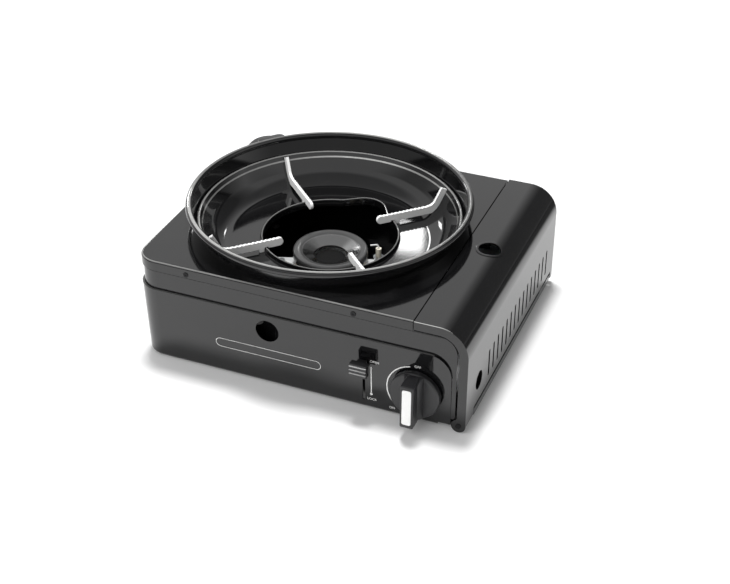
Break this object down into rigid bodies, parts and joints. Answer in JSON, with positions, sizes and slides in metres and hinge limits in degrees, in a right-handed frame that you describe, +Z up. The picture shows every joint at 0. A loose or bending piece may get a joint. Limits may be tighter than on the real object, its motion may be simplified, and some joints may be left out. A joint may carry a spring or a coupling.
{
  "type": "portable gas stove",
  "caption": "Portable cartridge gas stove with a round drip bowl and wind ring, serrated pan supports, a hinged cartridge cover, a control knob and a lock lever.",
  "frame": {"origin": "on the table under the middle of the whole stove, knob and rim included", "axes": "+X right towards the cartridge cover, +Y back, +Z up"},
  "size_m": [0.343, 0.3128, 0.137],
  "materials": {
    "black_enamel": "glossy black enamel",
    "plated_steel": "bright plated",
    "zinc_steel": "zinc plated sheet",
    "cast_aluminium": "as cast",
    "burnt_iron": "heat darkened",
    "brass": "turned",
    "ceramic": "glazed ceramic",
    "black_rubber": "matte",
    "black_plastic": "satin moulded",
    "pale_plastic": "satin inlay"
  },
  "bodies": {
    "case": {"lower_case": "black_enamel", "upper_frame": "black_enamel", "top_plate": "black_enamel", "igniter_pin": "plated_steel", "lever_pivot": "plated_steel", "plate_screws": "zinc_steel", "hinge_pins": "zinc_steel", "burner_bracket": "zinc_steel", "burner_screws": "zinc_steel", "igniter_clip": "zinc_steel", "partition_wall": "zinc_steel", "cartridge_guide": "zinc_steel", "guide_screws": "zinc_steel", "cartridge_saddles": "zinc_steel", "lever_bracket": "zinc_steel", "rod_guides": "zinc_steel", "burner_body": "cast_aluminium", "valve_body": "cast_aluminium", "heat_panel": "cast_aluminium", "burner_cap": "burnt_iron", "burner_core": "burnt_iron", "burner_ring": "brass", "gas_jet": "brass", "gas_pipe": "brass", "valve_socket": "brass", "igniter_ceramic": "ceramic", "rubber_feet": "black_rubber", "socket_seal": "black_rubber", "igniter_lead": "black_rubber", "piezo_unit": "black_plastic"},
    "cover": {"cartridge_cover": "black_enamel"},
    "knob": {"control_knob": "black_plastic", "knob_marker": "pale_plastic", "valve_stem": "zinc_steel"},
    "lever": {"lock_lever": "zinc_steel", "lever_tab": "black_plastic", "lever_pin": "plated_steel"},
    "pusher": {"pusher_rod": "zinc_steel", "pusher_plate": "zinc_steel"},
    "bowl": {"wind_ring": "black_enamel", "drip_bowl": "black_enamel", "bowl_floor": "black_enamel", "bowl_collar": "black_enamel", "pan_support_1": "plated_steel", "pan_support_2": "plated_steel", "pan_support_3": "plated_steel", "pan_support_4": "plated_steel"}
  },
  "joints": [
    {"name": "cover_hinge", "type": "hinge", "parent": "case", "child": "cover", "pos_m": [0.1645, 0.01265, 0.0086], "axis": [0, 1, 0], "range_deg": [0, 90]},
    {"name": "knob_turn", "type": "hinge", "parent": "case", "child": "knob", "pos_m": [0.1225, -0.13035, 0.0357], "axis": [0, -1, 0], "range_deg": [0, 120]},
    {"name": "lever_swing", "type": "hinge", "parent": "case", "child": "lever", "pos_m": [0.0695, -0.08835, 0.03], "axis": [1, 0, 0], "range_deg": [0, 35]},
    {"name": "pusher_slide", "type": "slide", "parent": "case", "child": "pusher", "axis": [0, -1, 0], "range_m": [0, 0.007]},
    {"name": "bowl_lift", "type": "slide", "parent": "case", "child": "bowl", "axis": [0, 0, 1], "range_m": [0, 0.06]}
  ],
  "couplings": [
    {"joint": "pusher_slide", "follows": "lever_swing", "m_per_rad": 0.011459}
  ]
}
